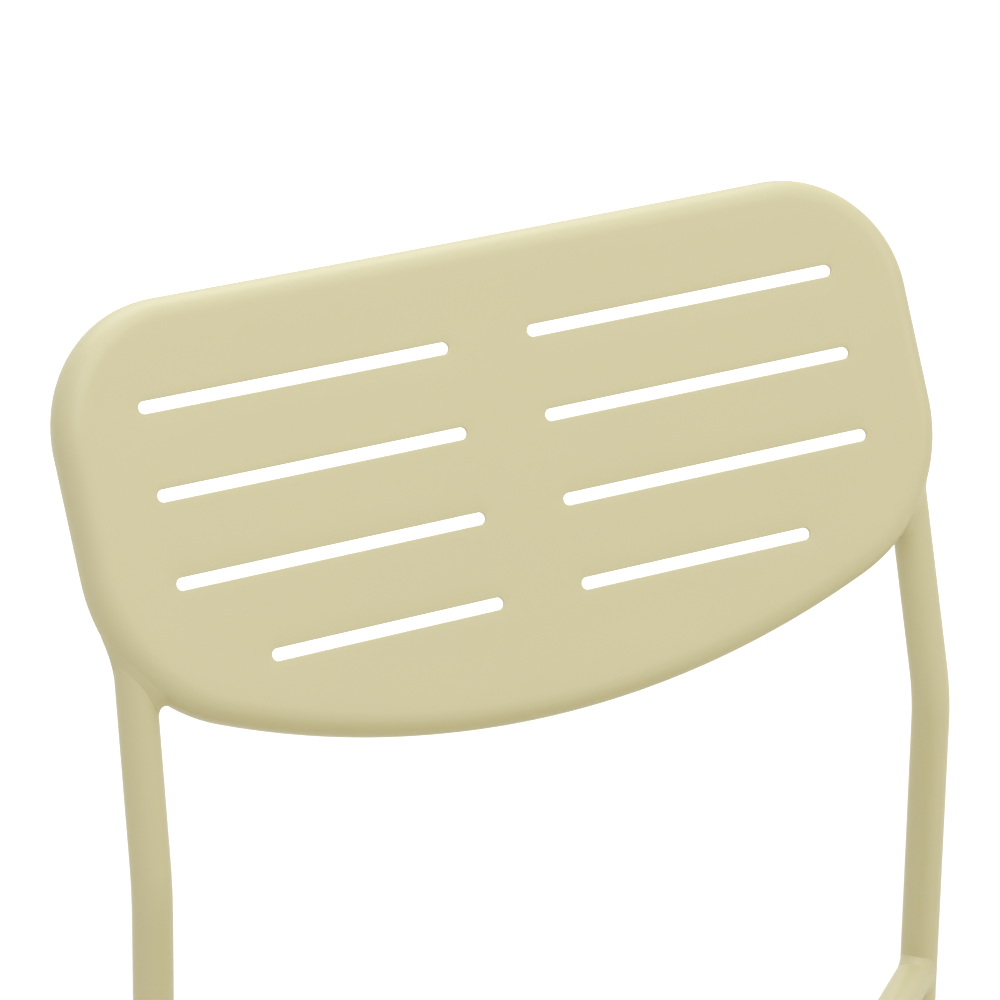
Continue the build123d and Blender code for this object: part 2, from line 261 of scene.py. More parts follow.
seat_edge_y = seat_depth * np.cos(tilt) + rim_depth * np.sin(tilt) - overall_depth / 2
rail_across = rail_spacing / 2
rail_rise = touching_tube_height(seat_curve_radius, tube_radius, rail_across)
rail_share = rail_height / bend_height
rail_end_y = bend_y + rear_foot_setback * (1 - rail_share)
rail_end_across = rear_foot_across + (bend_across - rear_foot_across) * rail_share
seat_edge_z = rail_height + ((rail_end_y - seat_edge_y) * np.sin(tilt) - rail_rise) / np.cos(tilt)
seat = Tray(
    origin=np.array([0, seat_edge_y, seat_edge_z]),
    axes=np.array([
        [-1, 0, 0],
        [0, -np.cos(tilt), np.sin(tilt)],
        [0, np.sin(tilt), np.cos(tilt)],
    ]),
    width=seat_width,
    length=seat_depth,
    far_corner=seat_front_corner,
    near_corner=seat_rear_corner,
    near_radius=seat_rear_radius,
    curve_radius=seat_curve_radius,
)


def from_tray(tray, local):
    """Points of a tray's own plane, in the chair's frame."""
    return tray.origin + np.asarray(local) @ tray.axes


def to_tray(tray, points):
    """Points of the chair's frame, in a tray's own plane."""
    return (points - tray.origin) @ tray.axes.T


def near_corner_centre(tray):
    """Centre of the arc between a tray's arched edge and its side, tangent to both from within."""
    x = tray.width / 2 - tray.near_corner
    return x, tray.near_radius - np.sqrt((tray.near_radius - tray.near_corner) ** 2 - x**2)


# Pressed sheets
def straight(start, end):
    """Evenly spaced points from one point up to another, which is left out."""
    count = int(np.ceil(np.linalg.norm(np.subtract(end, start)) / outline_spacing))
    return np.linspace(start, end, count, endpoint=False)


def arc(centre, radius, first, last):
    """Evenly spaced points of an arc, up to its last angle, which is left out, with the normals there."""
    count = int(np.ceil(radius * (last - first) / outline_spacing))
    angle = np.linspace(first, last, count, endpoint=False)
    normals = np.stack([np.cos(angle), np.sin(angle)], axis=-1)
    return np.array(centre) + radius * normals, normals


def tray_outline(tray):
    """Outline of a tray in its plane, with outward normals: arch, corners, sides and straight edge."""
    half = tray.width / 2
    corner = near_corner_centre(tray)
    swing = np.arcsin(corner[0] / (tray.near_radius - tray.near_corner)) - np.pi / 2
    far = (half - tray.far_corner, tray.length - tray.far_corner)
    arch = arc((0, tray.near_radius), tray.near_radius, -np.pi / 2, swing)
    near_turn = arc(corner, tray.near_corner, swing, 0.0)
    side = straight((half, corner[1]), (half, far[1]))
    far_turn = arc(far, tray.far_corner, 0.0, np.pi / 2)
    edge = straight((far[0], tray.length), (0, tray.length))
    middle = np.array([[0, tray.length]])
    points = np.concatenate([arch[0], near_turn[0], side, far_turn[0], edge, middle])
    normals = np.concatenate([
        arch[1], near_turn[1], np.tile([1.0, 0.0], (len(side), 1)),
        far_turn[1], np.tile([0.0, 1.0], (len(edge) + 1, 1)),
    ])
    mirror = np.array([-1, 1])
    return (
        np.concatenate([points, (points * mirror)[-2:0:-1]]),
        np.concatenate([normals, (normals * mirror)[-2:0:-1]]),
    )


def rolled_rim(tray, outline, outward):
    """Rim of a tray, as rows round it: a ball that rolls below the face and inside the wall touches both,
    and the skin between is the arc from one contact to the other; the lip is a half circle."""
    centre_plan = outline - rim_roll * outward
    reach = tray.curve_radius + rim_roll
    centre_z = tray.curve_radius - np.sqrt(reach**2 - centre_plan[:, 0] ** 2)
    centre = np.column_stack([centre_plan, centre_z])
    to_face = np.column_stack([-centre_plan[:, 0], 0 * centre_z, tray.curve_radius - centre_z]) / reach
    to_wall = np.column_stack([outward, 0 * centre_z])
    turn = np.arccos((to_face * to_wall).sum(axis=1))[:, None]
    share = np.linspace(0, 1, roll_points)[:, None, None]
    swing = (np.sin((1 - share) * turn) * to_face + np.sin(share * turn) * to_wall) / np.sin(turn)
    outer_roll = centre + rim_roll * swing
    inner_roll = centre + (rim_roll - sheet_thickness) * swing[::-1]
    half = sheet_thickness / 2
    lip_z = half + tray.curve_radius - np.sqrt((tray.curve_radius + rim_depth) ** 2 - outline[:, 0] ** 2)
    around = np.linspace(0, np.pi, lip_points)[:, None]
    lip_plan = outline - (half * (1 - np.cos(around)))[..., None] * outward
    lip = np.concatenate([lip_plan, (lip_z - half * np.sin(around))[..., None]], axis=-1)
    return np.concatenate([outer_roll, lip, inner_roll])


def slot_loop(x, y, length, grow):
    """Outline of a slot with round ends, moved outwards by grow."""
    radius = slot_width / 2
    half = length / 2 - radius
    angle = np.linspace(-np.pi / 2, np.pi / 2, slot_end_points)
    run = np.linspace(half, -half, int(np.ceil(length / face_spacing)))[1:-1]
    end = np.column_stack([half + (radius + grow) * np.cos(angle), (radius + grow) * np.sin(angle)])
    upper = np.column_stack([run, np.full_like(run, radius + grow)])
    loop = np.concatenate([end, upper])
    return np.array([x, y]) + np.concatenate([loop, -loop])


def face_height(tray, plan, outline, depth):
    """Height of a sheet's face, or its back at a depth: a cylinder, dished a little within the rim."""
    gap = np.linalg.norm(plan[:, None] - outline, axis=-1).min(axis=1)
    dish = eased(gap, (rim_roll + dish_start, rim_roll + dish_end), (0.0, dish_depth))
    return tray.curve_radius - np.sqrt((tray.curve_radius + depth) ** 2 - plan[:, 0] ** 2) - dish


def slot_wall(tray, loops, outline):
    """Wall of a slot through the sheet, as rows from face to back, with both edges rounded."""
    inset = np.linspace(0, np.pi / 2, slot_edge_points)
    grow = slot_edge_round * (1 - np.sin(inset))
    drop = slot_edge_round * (1 - np.cos(inset))
    front = [
        np.column_stack([loops(g), face_height(tray, loops(g), outline, d)]) for g, d in zip(grow, drop)
    ]
    back = [
        np.column_stack([loops(g), face_height(tray, loops(g), outline, sheet_thickness - d)])
        for g, d in zip(grow[::-1], drop[::-1])
    ]
    return np.array(front + back)


def inside_slot(plan, x, y, length, margin):
    """Whether points of the plane lie in a slot, or within a margin of it."""
    dx = np.maximum(np.abs(plan[:, 0] - x) - (length - slot_width) / 2, 0)
    return np.hypot(dx, plan[:, 1] - y) < slot_width / 2 + margin


def pressed_sheet(name, tray, first, lengths, stands_for):
    """Pressed tray: a rolled rim, a slotted face and its back, and the slots' walls."""
    outline, outward = tray_outline(tray)
    rim = rolled_rim(tray, outline, outward)
    slots = [
        (side * (slot_gap + length) / 2, first + row * slot_pitch, length)
        for row, length in enumerate(lengths)
        for side in sides.values()
    ]
    walls = [slot_wall(tray, lambda g, slot=slot: slot_loop(*slot, g), outline) for slot in slots]

    # Points within the face, on a square net kept clear of the rim and the slots
    across = np.arange(-tray.width / 2, tray.width / 2, face_spacing)
    along = np.arange(0, tray.length, face_spacing)
    net = np.stack(np.meshgrid(across, along), axis=-1).reshape(-1, 2)
    nearest = np.linalg.norm(net[:, None] - outline, axis=-1).argmin(axis=1)
    depth = ((outline[nearest] - net) * outward[nearest]).sum(axis=1)
    clear = depth > rim_roll + face_spacing / 2
    for slot in slots:
        clear &= ~inside_slot(net, *slot, face_spacing / 2)
    net = net[clear]

    loops = [rim[0]] + [wall[0] for wall in walls]
    front = np.concatenate(loops + [np.column_stack([net, face_height(tray, net, outline, 0.0)])])
    back = np.concatenate(
        [rim[-1]]
        + [wall[-1] for wall in walls]
        + [np.column_stack([net, face_height(tray, net, outline, sheet_thickness)])]
    )
    starts = np.cumsum([0] + [len(loop) for loop in loops])
    edges = np.concatenate([
        np.column_stack([np.arange(n), np.roll(np.arange(n), -1)]) + start
        for start, n in zip(starts, map(len, loops))
    ])
    inside_only = 1
    cut = delaunay_2d_cdt(front[:, :2].tolist(), edges.tolist(), [], inside_only, net_tolerance)
    faces, origin = cut[2:4]
    triangles = np.array([source[0] for source in origin])[np.array(faces)]
    middle = front[triangles, :2].mean(axis=1)
    kept = np.ones(len(triangles), bool)
    for slot in slots:
        kept &= ~inside_slot(middle, *slot, slot_edge_round)
    triangles = triangles[kept]
    patches = [(front, triangles), (back, triangles[:, ::-1]), grid(rim, closed_columns=True)]
    patches += [grid(wall, closed_columns=True) for wall in walls]
    make_piece(name, "powder_coat", [(from_tray(tray, p), f) for p, f in patches], stands_for)


# Tubes
def seat_point(side, across, along, height):
    """A point by its distances from the seat's middle line, rear edge and plane."""
    return from_tray(seat, [-side * across, along, height])


def back_point(side, across, along, height):
    """A point by its distances from the backrest's middle line, lower edge and plane."""
    return from_tray(backrest, [side * across, along, height])


def tube_end(floor_point, upper_point):
    """Where a leg's tube ends above the floor, on its foot."""
    upward = unit(upper_point - floor_point)
    return floor_point + upward * foot_height / upward[2]


def rear_foot_point(side):
    """Middle of a rear foot on the floor."""
    return np.array([side * rear_foot_across, bend_y + rear_foot_setback, 0])


def bend_point(side):
    """Corner of a rear leg's lower bend, where its straight runs would meet."""
    return np.array([side * bend_across, bend_y, bend_height])


def rear_leg_route(side):
    """Corners of a rear leg: lower end, lower bend, upper bend and upper end."""
    return np.array([
        tube_end(rear_foot_point(side), bend_point(side)),
        bend_point(side),
        back_point(side, post_across, post_bend_rise, post_rise),
        back_point(side, post_across, post_end_rise, post_rise),
    ])


def knee_point(side):
    """Corner where a side rail turns down into its front leg."""
    flare = (knee_spacing - rail_spacing) / 2 / np.tan(np.radians(rail_flare))
    return seat_point(side, knee_spacing / 2, front_flare_start + flare, rail_rise)


def front_foot_point(side):
    """Middle of a front foot on the floor."""
    return np.array([side * front_foot_spacing / 2, knee_point(side)[1] - front_leg_rake, 0])


def front_leg_route(side):
    """Corners of a side rail and front leg: rear end, two flare bends, knee and lower end."""
    rail_end = np.array([side * rail_end_across, rail_end_y, rail_height])
    flare = (rail_end_across - rail_across) / np.tan(np.radians(rail_flare))
    return np.array([
        rail_end,
        seat_point(side, rail_across, to_tray(seat, rail_end)[1] + flare, rail_rise),
        seat_point(side, rail_across, front_flare_start, rail_rise),
        knee_point(side),
        tube_end(front_foot_point(side), knee_point(side)),
    ])


def bent_line(route, radii):
    """Centre line of a bent tube: straight runs joined by arcs that are tangent to them. Gives points and
    directions. An arc's centre lies on the bisector of its corner, radius / cos(turn / 2) away."""
    runs = unit(np.diff(route, axis=0))
    points, directions = [route[:1]], [runs[:1]]
    for corner, radius, before, after in zip(route[1:-1], radii, runs[:-1], runs[1:]):
        turn = np.arccos(before @ after)
        inward, along = unit(after - before), unit(after + before)
        swing = np.linspace(-turn / 2, turn / 2, int(np.ceil(turn / bend_step)) + 1)[:, None]
        centre = corner + inward * radius / np.cos(turn / 2)
        points.append(centre + radius * (along * np.sin(swing) - inward * np.cos(swing)))
        directions.append(along * np.cos(swing) + inward * np.sin(swing))
    return np.concatenate(points + [route[-1:]]), np.concatenate(directions + [runs[-1:]])


def ring_directions(axis, reference):
    """Unit vectors all round an axis, or round each of many, the first turned towards a reference."""
    first = unit(reference - (axis @ reference)[..., None] * axis)
    second = np.cross(axis, first)
    angle = np.linspace(0, 2 * np.pi, ring_sides, endpoint=False)[:, None]
    return first[..., None, :] * np.cos(angle) + second[..., None, :] * np.sin(angle)


def run_out(points, direction, tube_point, tube_axis, radius):
    """Points moved along a direction until they come out of a tube: the larger root s of
    |w + s d| = radius, where w and d are taken square to the tube's axis."""
    w = square_to(tube_axis, points - tube_point)
    d = square_to(tube_axis, direction)
    a, b, c = d @ d, w @ d, (w * w).sum(axis=-1) - radius**2
    s = (np.sqrt(np.maximum(b**2 - a * c, 0)) - b) / a
    return points + s[..., None] * direction


def hollow_tube(points, directions, radius, bore, reference, copes=()):
    """A tube as one closed grid: rings along its outside and back along its bore. A coped end's rings are
    moved out of the tube that they meet."""
    around = ring_directions(directions, reference)
    outside, inside = (points[:, None] + r * around for r in (radius, bore))
    for end, direction, other_tube in copes:
        outside[end] = run_out(outside[end], direction, *other_tube)
        inside[end] = run_out(inside[end], direction, *other_tube)
    return grid(np.concatenate([outside, inside[::-1]]), True, True)


def lower_leg(side):
    """A point, the direction and the radius of a rear leg below its bend."""
    return rear_foot_point(side), unit(bend_point(side) - rear_foot_point(side)), tube_radius


def side_rail(side):
    """A point, the direction and the radius of a side rail beside the seat's middle."""
    start, end = front_leg_route(side)[1:3]
    return start, unit(end - start), tube_radius


across_x = np.array([1.0, 0.0, 0.0])


def rear_leg_tube(side):
    """Rear leg and post, one tube with two bends."""
    line = bent_line(rear_leg_route(side), (bend_radius, post_bend_radius))
    return hollow_tube(*line, tube_radius, bore_radius, across_x)


def front_leg_tube(side):
    """Side rail and front leg, one tube with three bends, coped to the rear leg."""
    points, directions = bent_line(front_leg_route(side), (rail_bend_radius, rail_bend_radius, knee_radius))
    cope = (0, directions[0], lower_leg(side))
    return hollow_tube(points, directions, tube_radius, bore_radius, across_x, [cope])


def cross_rail_line(place):
    """Arc under the seat pan, bent to its curve, with both ends inside the side rails."""
    radius = seat_curve_radius + sheet_thickness + weld_gap + cross_tube_radius
    half_turn = np.arcsin((rail_across - cope_margin) / radius)
    swing = np.linspace(half_turn, -half_turn, cross_rail_points)
    zero = 0 * swing
    local = [radius * np.sin(swing), zero + place, seat_curve_radius - radius * np.cos(swing)]
    along = [-np.cos(swing), zero, -np.sin(swing)]
    return from_tray(seat, np.column_stack(local)), np.column_stack(along) @ seat.axes


def cross_rail_tube(place):
    """Cross rail, coped to both side rails."""
    points, directions = cross_rail_line(place)
    copes = [
        (0, directions[0], side_rail(sides["left"])),
        (-1, -directions[-1], side_rail(sides["right"])),
    ]
    return hollow_tube(points, directions, cross_tube_radius, cross_bore_radius, seat.axes[2], copes)


# Plastic feet, caps and bumpers
def turned(centre, axis, radii, heights):
    """A turned shape: a ring for each radius, at its height along the axis or a height for each point."""
    around = ring_directions(axis, across_x)
    return centre + np.asarray(heights)[..., None] * axis + np.asarray(radii)[:, None, None] * around


def quarter_round(radius):
    """Inset and drop of points along a rounded edge, from the side to the top."""
    angle = np.linspace(0, np.pi / 2, round_points)
    return radius * (1 - np.cos(angle)), radius * (1 - np.sin(angle))


def foot(floor_point, upper_point):
    """Head of a leg plug: round at its upper edge, cut flat at the floor with a rounded edge there."""
    axis = unit(upper_point - floor_point)
    centre = tube_end(floor_point, upper_point)
    inset, drop = quarter_round(foot_round)
    upper_radii = np.concatenate([[0], foot_radius - inset[::-1]])
    upper_heights = np.concatenate([[0], -drop[::-1]])[:, None] * np.ones(ring_sides)
    lower_radii = np.concatenate([foot_radius - inset, [0]])
    level = np.concatenate([drop, [0]])[:, None]
    around_z = ring_directions(axis, across_x)[:, 2]
    lower_heights = (level - centre[2] - lower_radii[:, None] * around_z) / axis[2]
    radii = np.concatenate([upper_radii, lower_radii])
    heights = np.concatenate([upper_heights, lower_heights])
    return grid(turned(centre, axis, radii, heights), closed_columns=True)


def post_cap(side):
    """Cap of a post plug: as wide as the tube, with a rounded edge and a slightly domed end."""
    inset, drop = quarter_round(cap_round)
    dome = np.linspace(1, 0, crown_points)[1:] * (tube_radius - inset[-1])
    radii = np.concatenate([[0, tube_radius], tube_radius - inset, dome])
    shoulder = cap_height - cap_crown
    crown = cap_crown * (1 - (dome / (tube_radius - inset[-1])) ** 2)
    heights = np.concatenate([[0, 0], shoulder - drop, shoulder + crown])[:, None]
    return grid(turned(rear_leg_route(side)[-1], backrest.axes[1], radii, heights), closed_columns=True)


def bumper(side, place):
    """Round button under a rail: its upper ring lies on the tube, its lower edge is rounded."""
    centre = seat_point(side, rail_across, place, rail_rise)
    axis = -seat.axes[2]
    inset, drop = quarter_round(bumper_round)
    ring = centre + bumper_radius * ring_directions(axis, across_x)
    saddle = (run_out(ring, axis, *side_rail(side)) - ring) @ axis - bead_sink
    base = tube_radius + bumper_height
    lower = (base - drop)[:, None] * np.ones(ring_sides)
    inner = np.full((1, ring_sides), bore_radius)
    heights = np.concatenate([inner, saddle[None], lower, np.full((1, ring_sides), base)])
    radii = np.concatenate([[0, bumper_radius], bumper_radius - inset, [0]])
    return grid(turned(centre, axis, radii, heights), closed_columns=True)


# Weld beads
def bead(first_toe, seam, second_toe, taper, hollow):
    """A bead along a seam: a quadratic curve from toe to toe, closed over the seam and drawn in to it by
    taper. Its control point goes from the middle of its chord towards the seam by the share hollow, and
    away from it, for a full bead, where that is below 0."""
    control = (first_toe + second_toe) / 2 * (1 - hollow)[:, None] + seam * hollow[:, None]
    s = np.linspace(0, 1, bead_points)[:, None, None]
    skin = (1 - s) ** 2 * first_toe + 2 * s * (1 - s) * control + s**2 * second_toe
    profile = np.concatenate([skin, seam[None]])
    return seam + taper[:, None] * (profile - seam)


def rim_skin(points):
    """Distance outside the backrest's outer skin at a lower corner. Beyond is taken along the outline's
    normal and above along the face's, both from the roll's centre line; where a point lies between the two
    directions, its distance from that line counts, and lean is the cosine of the angle between them."""
    x, y, z = to_tray(backrest, points).T
    corner_x, corner_y = near_corner_centre(backrest)
    from_corner = np.hypot(np.abs(x) - corner_x, y - corner_y)
    from_axis = np.hypot(x, z - backrest.curve_radius)
    beyond = from_corner - backrest.near_corner + rim_roll
    above = backrest.curve_radius - from_axis + rim_roll
    lean = -np.abs(x) / from_axis * (np.abs(x) - corner_x) / from_corner
    between = np.sqrt((beyond**2 + above**2 - 2 * lean * beyond * above) / (1 - lean**2))
    on_roll = np.where(beyond < lean * above, above, between)
    return np.where(above < lean * beyond, beyond, on_roll) - rim_roll


def rim_normal(points):
    """Direction in which that distance grows, from small steps along each axis."""
    step = slope_step * np.eye(3)
    return unit(np.stack([rim_skin(points + d) - rim_skin(points - d) for d in step], axis=-1))


# Rim welds: reach down the post and up the rim, and hollow, at turns in degrees from inside to outside
RimWeld = namedtuple("RimWeld", "down up hollow")
rim_weld_turn = (-110.0, -62.0, 0.0, 62.0, 118.0, 150.0)
rim_weld_taper = (0.0, 1.0, 1.0, 1.0, 1.0, 0.0)
rim_welds = {
    sides["left"]: RimWeld(
        down=(0.005, 0.008, 0.0038, 0.0034, 0.009, 0.007),
        up=(0.005, 0.008, 0.0115, 0.0120, 0.009, 0.004),
        hollow=(0.85, 0.7, -0.22, -0.25, 0.3, 0.7),
    ),
    sides["right"]: RimWeld(
        down=(0.005, 0.008, 0.0045, 0.006, 0.010, 0.007),
        up=(0.005, 0.008, 0.0070, 0.008, 0.007, 0.004),
        hollow=(0.85, 0.85, 0.5, 0.6, 0.7, 0.7),
    ),
}
rim_seam_search = (0.020, 0.150)


def rim_bead(side):
    """Bead between a post and the rim that it passes under. The seam is where lines along the post enter
    the rim's skin, found by halving; the upper toe is brought on to the skin along its normal."""
    low, high = rear_leg_route(side)[1:3]
    axis = unit(high - low)
    front = unit(square_to(axis, backrest.axes[2]))
    outer = side * np.cross(axis, front)
    degrees = np.linspace(rim_weld_turn[0], rim_weld_turn[-1], rim_weld_points)
    angle = np.radians(degrees)[:, None]
    away = front * np.cos(angle) + outer * np.sin(angle)
    line = low + tube_radius * away
    near, far = (np.full(len(line), reach) for reach in rim_seam_search)
    for _ in range(seam_halvings):
        middle = (near + far) / 2
        outside = rim_skin(line + middle[:, None] * axis) > 0
        near, far = np.where(outside, middle, near), np.where(outside, far, middle)
    seam = line + near[:, None] * axis
    down, up, hollow, taper = (
        eased(degrees, rim_weld_turn, values)
        for values in (*rim_welds[side], rim_weld_taper)
    )
    normal = rim_normal(seam)
    up_skin = unit(away - (away * normal).sum(axis=1, keepdims=True) * normal)
    toe = seam + up[:, None] * up_skin
    for _ in range(toe_steps):
        toe = toe - rim_skin(toe)[:, None] * rim_normal(toe)
    local = to_tray(backrest, toe)
    lip = backrest.curve_radius - np.sqrt((backrest.curve_radius + rim_depth) ** 2 - local[:, 0] ** 2)
    local[:, 2] = np.maximum(local[:, 2], lip)
    toe = from_tray(backrest, local)
    seam = seam - bead_sink * unit(away + normal)
    return grid(bead(line + (near - down)[:, None] * axis, seam, toe, taper, hollow), closed_rows=True)


def tube_bead(start, direction, around, other_tube, reach, taper, hollow):
    """Bead round a tube's coped end, from the tube, by its reach, on to the tube that it meets. The toe
    there is brought back to that tube's surface."""
    point, axis, radius = other_tube
    seam = run_out(start, direction, *other_tube)
    far_toe = seam + reach[:, None] * direction
    spread = seam + reach[:, None] * around - point
    near_toe = point + (spread @ axis)[:, None] * axis + radius * unit(square_to(axis, spread))
    return bead(far_toe, seam - bead_sink * around, near_toe, taper, np.full(len(seam), hollow))


def rail_bead(side):
    """Bead all round the coped rear end of a side rail, wider at its sides than above and below."""
    start, end = front_leg_route(side)[:2]
    direction = unit(end - start)
    around = ring_directions(direction, across_x)
    whole = np.ones(ring_sides)
    reach = rail_weld_reach + rail_weld_side_reach * (1 - around[:, 2] ** 2)
    start = start + tube_radius * around
    ring = tube_bead(start, direction, around, lower_leg(side), reach, whole, rail_weld_hollow)
    return grid(ring, True, True)


def cross_rail_bead(place, end, side):
    """Bead round the lower part of a cross rail's end, below the sheet."""
    points, directions = cross_rail_line(place)
    direction = directions[end] * (1 if end == 0 else -1)
    below = unit(square_to(direction, -seat.axes[2]))
    angle = np.linspace(-cross_weld_half_turn, cross_weld_half_turn, cross_weld_points)
    around = below * np.cos(angle)[:, None] + np.cross(direction, below) * np.sin(angle)[:, None]
    taper = np.sqrt(np.clip(1 - (angle / angle[-1]) ** cross_weld_end_power, 0, 1))
    start = points[end] + cross_tube_radius * around
    reach = np.full(len(angle), cross_weld_reach)
    strip = tube_bead(start, direction, around, side_rail(side), reach, taper, cross_weld_hollow)
    return grid(strip, closed_rows=True)


def stitch_bead(tray, across, along, hand):
    """Short bead between a sheet's back and one side of the tube against it, rippled along its run."""
    reach = tray.curve_radius + sheet_thickness + weld_gap + tube_radius
    lean = np.arcsin(across / reach)
    beside = np.array([np.cos(lean), 0, np.sin(lean)]) * hand
    out = np.array([-np.sin(lean), 0, np.cos(lean)])
    run = np.linspace(-0.5, 0.5, stitch_points)
    ripple = bead_ripple * np.abs(np.sin(np.pi * run * stitch_length / bead_ripple_pitch))
    taper = np.sqrt(np.clip(1 - (2 * run) ** stitch_end_power, 0, 1))
    middle = np.array([across, along, touching_tube_height(tray.curve_radius, tube_radius, across)])
    centre = middle + (run * stitch_length)[:, None] * np.array([0, 1, 0])
    tube_angle = np.radians(stitch_tube_turn)
    tube_toe = centre + tube_radius * (beside * np.sin(tube_angle) + out * np.cos(tube_angle))
    seam = centre + stitch_seam_place * beside + (tube_radius - bead_sink) * out
    sheet_toe = centre + stitch_sheet_reach * beside + (tube_radius + weld_gap + bead_sink / 2) * out
    outward = unit(beside - stitch_lean * out)
    proud = (stitch_swell + ripple)[:, None] * outward
    skin = bead(tube_toe, seam, sheet_toe, taper, np.zeros(len(run)))
    swell = np.sin(np.pi * np.linspace(0, 1, bead_points))[:, None, None]
    skin[:bead_points] += swell * proud * taper[:, None]
    return grid(from_tray(tray, skin), closed_rows=True)


# Finishes
def linear(*rgb):
    """Linear colour of an 8-bit display colour: c / 12.92 below 0.04045, and above that
    ((c + 0.055) / 1.055) ** 2.4."""
    c = np.array(rgb) / 255
    return (*np.where(c < 0.04045, c / 12.92, ((c + 0.055) / 1.055) ** 2.4), 1.0)


cloud_scale = 14.0
cloud_detail = 4.0
cloud_gloss = 0.12
peel_detail = 2.0
noise_middle = 0.5


def coat_grain_group():
    """Powder coat: a fine orange peel from two sizes of noise, and a faint cloudiness of the colour."""
    group = bpy.data.node_groups.new("powder_coat_grain", "ShaderNodeTree")
    given_sockets = (
        ("Tint", "NodeSocketColor"),
        ("Peel Size", "NodeSocketFloat"),
        ("Cloudiness", "NodeSocketFloat"),
        ("Roughness", "NodeSocketFloat"),
    )
    result_sockets = (
        ("Color", "NodeSocketColor"),
        ("Roughness", "NodeSocketFloat"),
        ("Height", "NodeSocketFloat"),
    )
    for name, kind in given_sockets:
        group.interface.new_socket(name=name, in_out="INPUT", socket_type=kind)
    for name, kind in result_sockets:
        group.interface.new_socket(name=name, in_out="OUTPUT", socket_type=kind)
    add, link = group.nodes.new, group.links.new
    given, result = add("NodeGroupInput"), add("NodeGroupOutput")
    place = add("ShaderNodeTexCoord")
    inverse = add("ShaderNodeMath")
    inverse.operation = "DIVIDE"
    inverse.inputs[0].default_value = 1.0
    link(given.outputs["Peel Size"], inverse.inputs[1])
    peel = add("ShaderNodeTexNoise")
    peel.inputs["Detail"].default_value = peel_detail
    link(place.outputs["Object"], peel.inputs["Vector"])
    link(inverse.outputs[0], peel.inputs["Scale"])
    cloud = add("ShaderNodeTexNoise")
    cloud.inputs["Scale"].default_value = cloud_scale
    cloud.inputs["Detail"].default_value = cloud_detail
    link(place.outputs["Object"], cloud.inputs["Vector"])
    centred = add("ShaderNodeMath")
    centred.operation = "SUBTRACT"
    centred.inputs[1].default_value = noise_middle
    link(cloud.outputs["Fac"], centred.inputs[0])
    gain = add("ShaderNodeMath")
    gain.operation = "MULTIPLY_ADD"
    gain.inputs[2].default_value = 1.0
    link(centred.outputs[0], gain.inputs[0])
    link(given.outputs["Cloudiness"], gain.inputs[1])
    shade = add("ShaderNodeVectorMath")
    shade.operation = "SCALE"
    link(given.outputs["Tint"], shade.inputs[0])
    link(gain.outputs[0], shade.inputs["Scale"])
    link(shade.outputs[0], result.inputs["Color"])
    rough = add("ShaderNodeMath")
    rough.operation = "MULTIPLY_ADD"
    rough.inputs[1].default_value = cloud_gloss
    link(centred.outputs[0], rough.inputs[0])
    link(given.outputs["Roughness"], rough.inputs[2])
    link(rough.outputs[0], result.inputs["Roughness"])
    link(peel.outputs["Fac"], result.inputs["Height"])
    return group


def grained_material(name, group, tint, peel_size, cloudiness, roughness, bump_height, specular):
    """A plain opaque surface whose colour, roughness and bump come from the grain group."""
    material = bpy.data.materials.new(name)
    material.use_nodes = True
    tree = material.node_tree
    shader = tree.nodes["Principled BSDF"]
    shader.inputs["Specular IOR Level"].default_value = specular
    grain = tree.nodes.new("ShaderNodeGroup")
    grain.node_tree = group
    grain.inputs["Tint"].default_value = tint
    grain.inputs["Peel Size"].default_value = peel_size
    grain.inputs["Cloudiness"].default_value = cloudiness
    grain.inputs["Roughness"].default_value = roughness
    bump = tree.nodes.new("ShaderNodeBump")
    bump.inputs["Distance"].default_value = bump_height
    bump.inputs["Strength"].default_value = 1.0
    tree.links.new(grain.outputs["Height"], bump.inputs["Height"])
    tree.links.new(grain.outputs["Color"], shader.inputs["Base Color"])
    tree.links.new(grain.outputs["Roughness"], shader.inputs["Roughness"])
    tree.links.new(bump.outputs["Normal"], shader.inputs["Normal"])
    return material


coat_grain = coat_grain_group()
finishes = {
    "powder_coat": grained_material(
        "powder_coat",
        coat_grain,
        tint=linear(210, 202, 160),
        peel_size=0.0011,
        cloudiness=0.03,
        roughness=0.44,
        bump_height=0.00002,
        specular=0.7,
    ),
    "plastic": grained_material(
        "matt_plastic",
        coat_grain,
        tint=linear(52, 51, 49),
        peel_size=0.0006,
        cloudiness=0.06,
        roughness=0.6,
        bump_height=0.00002,
        specular=0.4,
    ),
}

